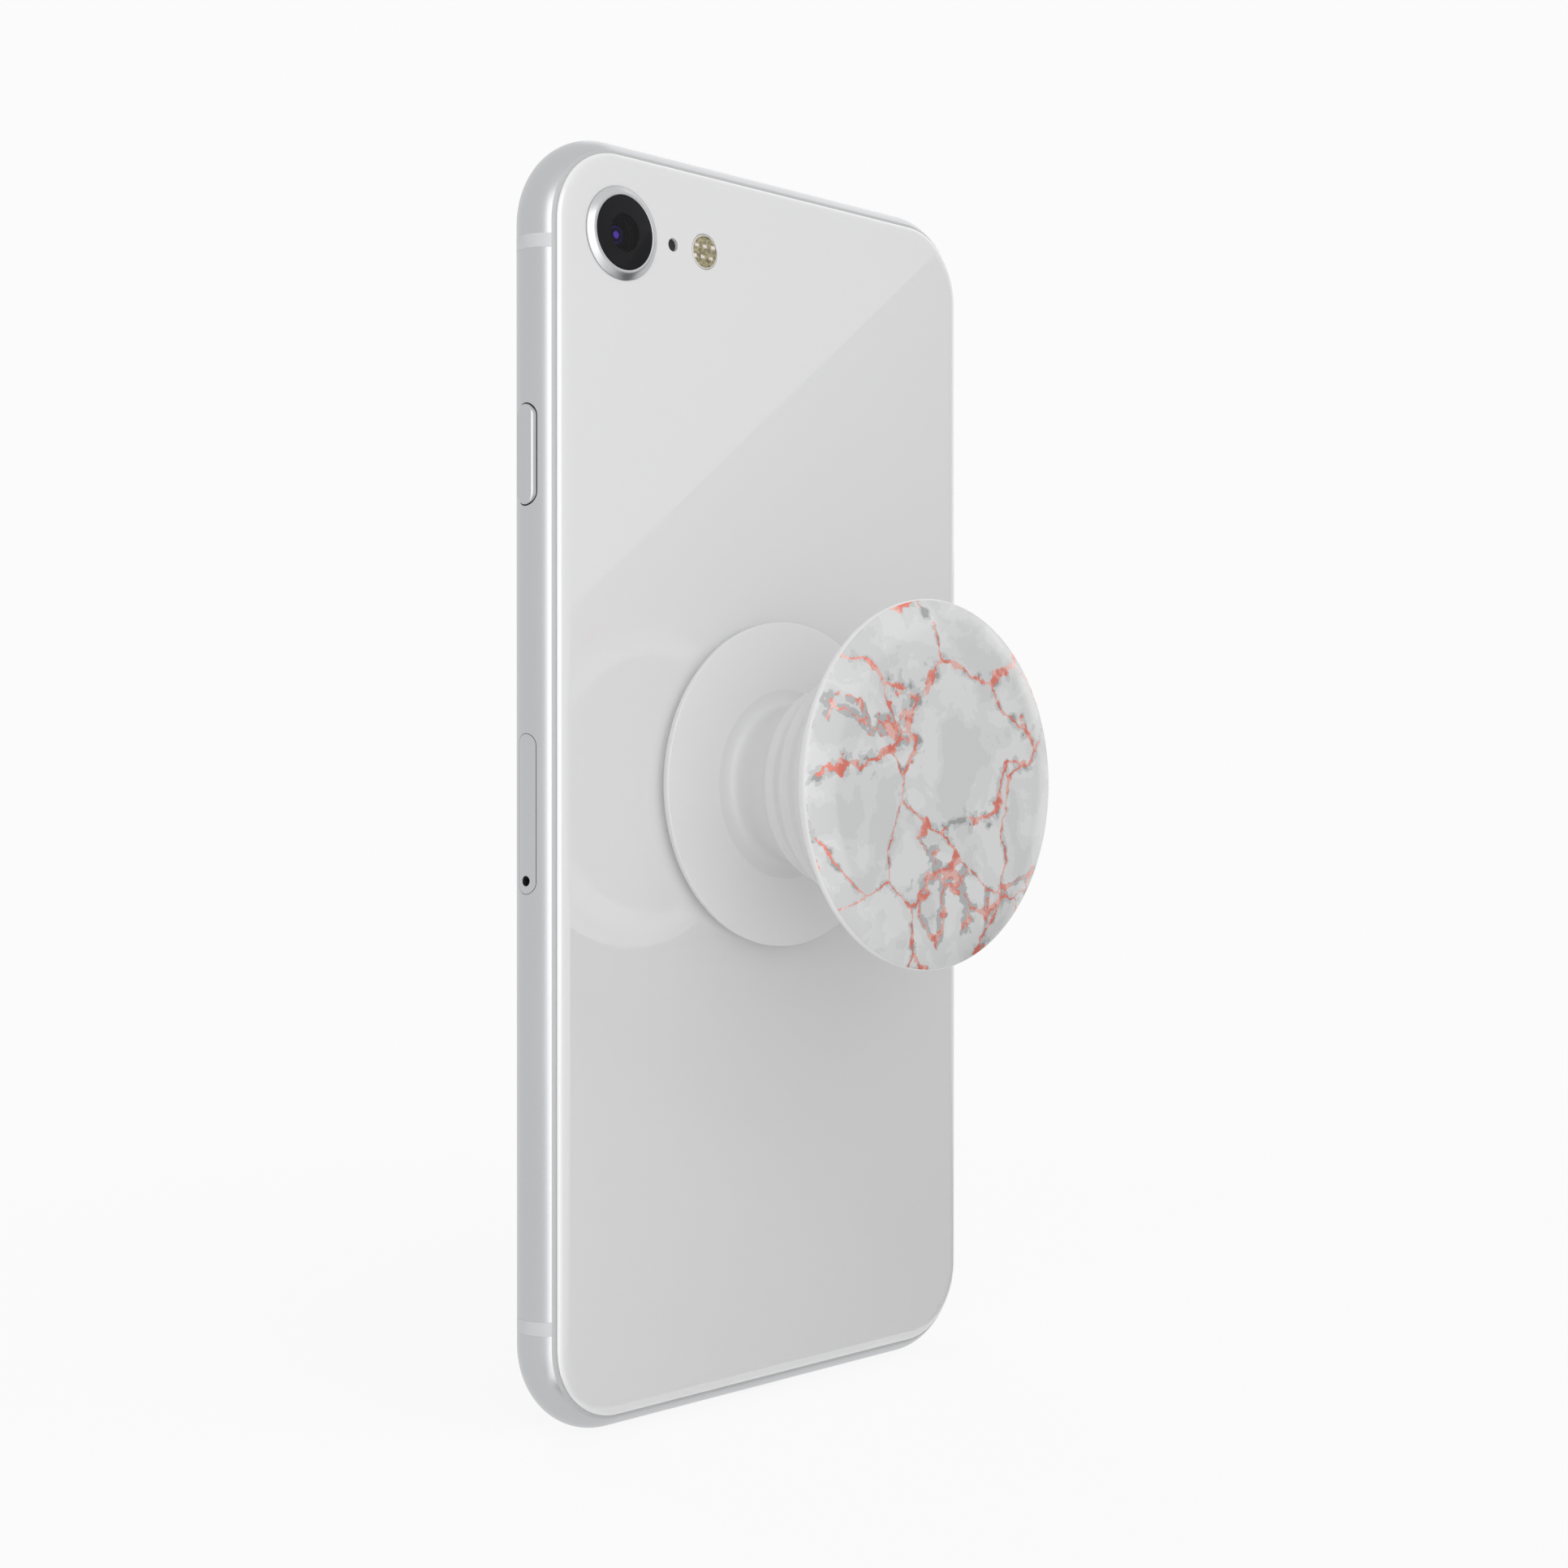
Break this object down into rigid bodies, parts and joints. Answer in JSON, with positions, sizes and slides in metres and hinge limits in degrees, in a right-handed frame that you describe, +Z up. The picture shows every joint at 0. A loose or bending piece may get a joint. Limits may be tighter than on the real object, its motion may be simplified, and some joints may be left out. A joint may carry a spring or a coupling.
{
  "type": "smartphone",
  "caption": "Slab smartphone with glass front and back in a bulged metal band, side keys, a card tray and a collapsible round finger grip on its back.",
  "frame": {"origin": "middle of the phone's bottom edge, at the mouth of its charging socket", "axes": "+Z up the phone's length, the screen faces -Y, the back with camera and grip faces +Y, side button and card tray on the +X side"},
  "size_m": [0.068, 0.0322, 0.1384],
  "materials": {
    "aluminium_band": "satin blasted",
    "antenna_plastic": "satin",
    "steel_plate": "bare",
    "seal": "satin",
    "white_glass": "gloss, white coat behind",
    "screen_glass": "gloss, black mask behind",
    "display": "gloss",
    "sapphire": "gloss, black coat behind",
    "bright_ring": "polished bevel",
    "mesh": "woven mesh",
    "black_plastic": "matte",
    "lens_glass": "coated",
    "cover_glass": "gloss",
    "steel_can": "bare can",
    "led": "phosphor",
    "flash_plastic": "ribbed lens",
    "card_plastic": "gloss",
    "flex": "polyimide film",
    "contact_gold": "plated",
    "screw_steel": "bare",
    "battery_pouch": "foil pouch in black film",
    "tape": "matte",
    "board_green": "solder mask",
    "copper": "enamelled wire",
    "ferrite": "sheet",
    "heavy_metal": "sintered",
    "grip_plastic": "satin, slightly translucent",
    "grip_soft": "satin",
    "grip_print": "printed marble with foil veins"
  },
  "bodies": {
    "phone": {"frame_top": "aluminium_band", "frame_bottom": "aluminium_band", "rail_left": "aluminium_band", "rail_right": "aluminium_band", "antenna_bands": "antenna_plastic", "mid_plate": "steel_plate", "rear_gasket": "seal", "rear_glass": "white_glass", "front_gasket": "seal", "front_glass": "screen_glass", "display_panel": "display", "display_shield": "steel_plate", "display_flex": "flex", "home_button": "sapphire", "home_button_ring": "bright_ring", "earpiece_mesh": "mesh", "earpiece_speaker": "black_plastic", "front_camera": "black_plastic", "sensor_flex": "flex", "camera_ring": "bright_ring", "camera_cover_glass": "cover_glass", "camera_housing": "steel_can", "image_sensor": "board_green", "flash_lens": "flash_plastic", "flash_led": "led", "rear_mic_mesh": "mesh", "rear_mic": "steel_can", "ring_switch_housing": "black_plastic", "key_switches": "contact_gold", "sim_reader": "steel_can", "charge_port": "black_plastic", "port_contacts": "contact_gold", "bottom_screws": "screw_steel", "loudspeaker": "black_plastic", "bottom_mic": "steel_can", "dock_flex": "flex", "battery": "battery_pouch", "battery_tape": "tape", "logic_board": "board_green", "board_shields": "steel_can", "board_screws": "screw_steel", "haptic_housing": "steel_can", "haptic_cover": "steel_can", "charge_coil": "copper", "coil_shield": "ferrite", "grip_tape": "tape", "grip_base": "grip_plastic", "grip_bellows": "grip_soft"},
    "side_button": {"side_button": "aluminium_band"},
    "volume_up": {"volume_up_button": "aluminium_band"},
    "volume_down": {"volume_down_button": "aluminium_band"},
    "ring_switch": {"ring_switch": "aluminium_band"},
    "card_tray": {"sim_tray": "aluminium_band", "sim_card": "card_plastic"},
    "camera_focus": {"camera_barrel": "black_plastic", "camera_lens": "lens_glass"},
    "haptic_weight": {"haptic_mass": "heavy_metal"},
    "grip_top": {"grip_plate": "grip_plastic", "grip_rim": "grip_print", "grip_cap": "grip_print"}
  },
  "joints": [
    {"name": "side_button_press", "type": "slide", "parent": "phone", "child": "side_button", "axis": [-1, 0, 0], "range_m": [0, 0.00025], "stiffness_N_per_m": 4000},
    {"name": "volume_up_press", "type": "slide", "parent": "phone", "child": "volume_up", "axis": [1, 0, 0], "range_m": [0, 0.00025], "stiffness_N_per_m": 4000},
    {"name": "volume_down_press", "type": "slide", "parent": "phone", "child": "volume_down", "axis": [1, 0, 0], "range_m": [0, 0.00025], "stiffness_N_per_m": 4000},
    {"name": "ring_switch_slide", "type": "slide", "parent": "phone", "child": "ring_switch", "axis": [0, 1, 0], "range_m": [0, 0.0012]},
    {"name": "card_tray_slide", "type": "slide", "parent": "phone", "child": "card_tray", "axis": [1, 0, 0], "range_m": [0, 0.0165]},
    {"name": "camera_focus_slide", "type": "slide", "parent": "phone", "child": "camera_focus", "axis": [0, 1, 0], "range_m": [0, 0.0003], "stiffness_N_per_m": 100},
    {"name": "haptic_slide", "type": "slide", "parent": "phone", "child": "haptic_weight", "axis": [1, 0, 0], "range_m": [-0.0004, 0.0004], "stiffness_N_per_m": 1500},
    {"name": "grip_collapse", "type": "slide", "parent": "phone", "child": "grip_top", "axis": [0, -1, 0], "range_m": [0, 0.017], "deforming": ["grip_bellows"]}
  ]
}
